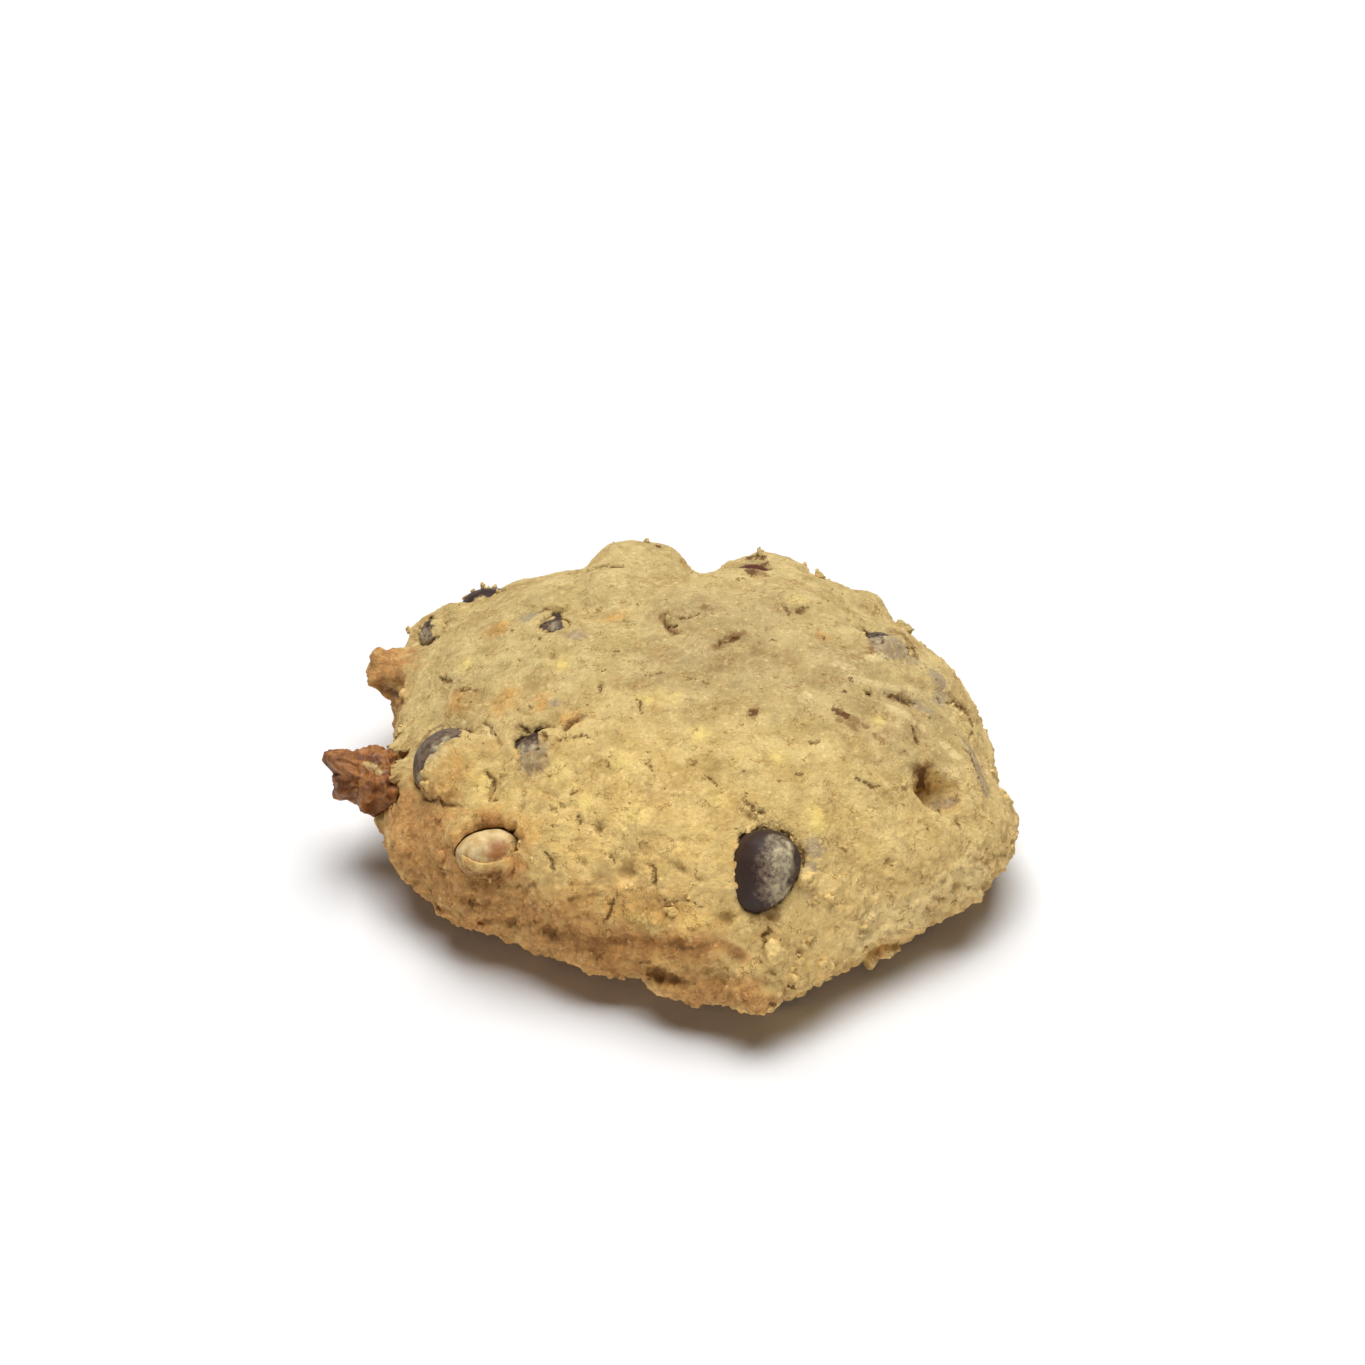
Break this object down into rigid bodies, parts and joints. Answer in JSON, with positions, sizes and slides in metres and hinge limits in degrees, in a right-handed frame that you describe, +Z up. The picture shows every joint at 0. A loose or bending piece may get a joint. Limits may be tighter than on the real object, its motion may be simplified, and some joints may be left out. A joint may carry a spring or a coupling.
{
  "type": "chocolate chip cookie",
  "caption": "Thick, uneven drop cookie of pale baked dough with chocolate chips and nut pieces set into its domed top, resting on a flat underside.",
  "frame": {"origin": "on the floor, under the middle of the cookie's bounding box", "axes": "+Z up through the domed top, -Y towards the front with the bare chocolate chip, +X to its right"},
  "size_m": [0.0748, 0.066, 0.0241],
  "materials": {
    "dough": "matte, crumbly, golden with browned edges",
    "chocolate": "satin, partly dusted with flour",
    "nut": "matte, pale and roasted",
    "walnut": "oily, wrinkled brown"
  },
  "bodies": {
    "root": {"dough": "dough", "chip_front": "chocolate", "chip_left": "chocolate", "chip_middle": "chocolate", "chip_back": "chocolate", "chip_right": "chocolate", "chip_rim": "chocolate", "chip_edge": "chocolate", "chip_lobe": "chocolate", "nut": "nut", "walnut": "walnut"}
  },
  "joints": []
}
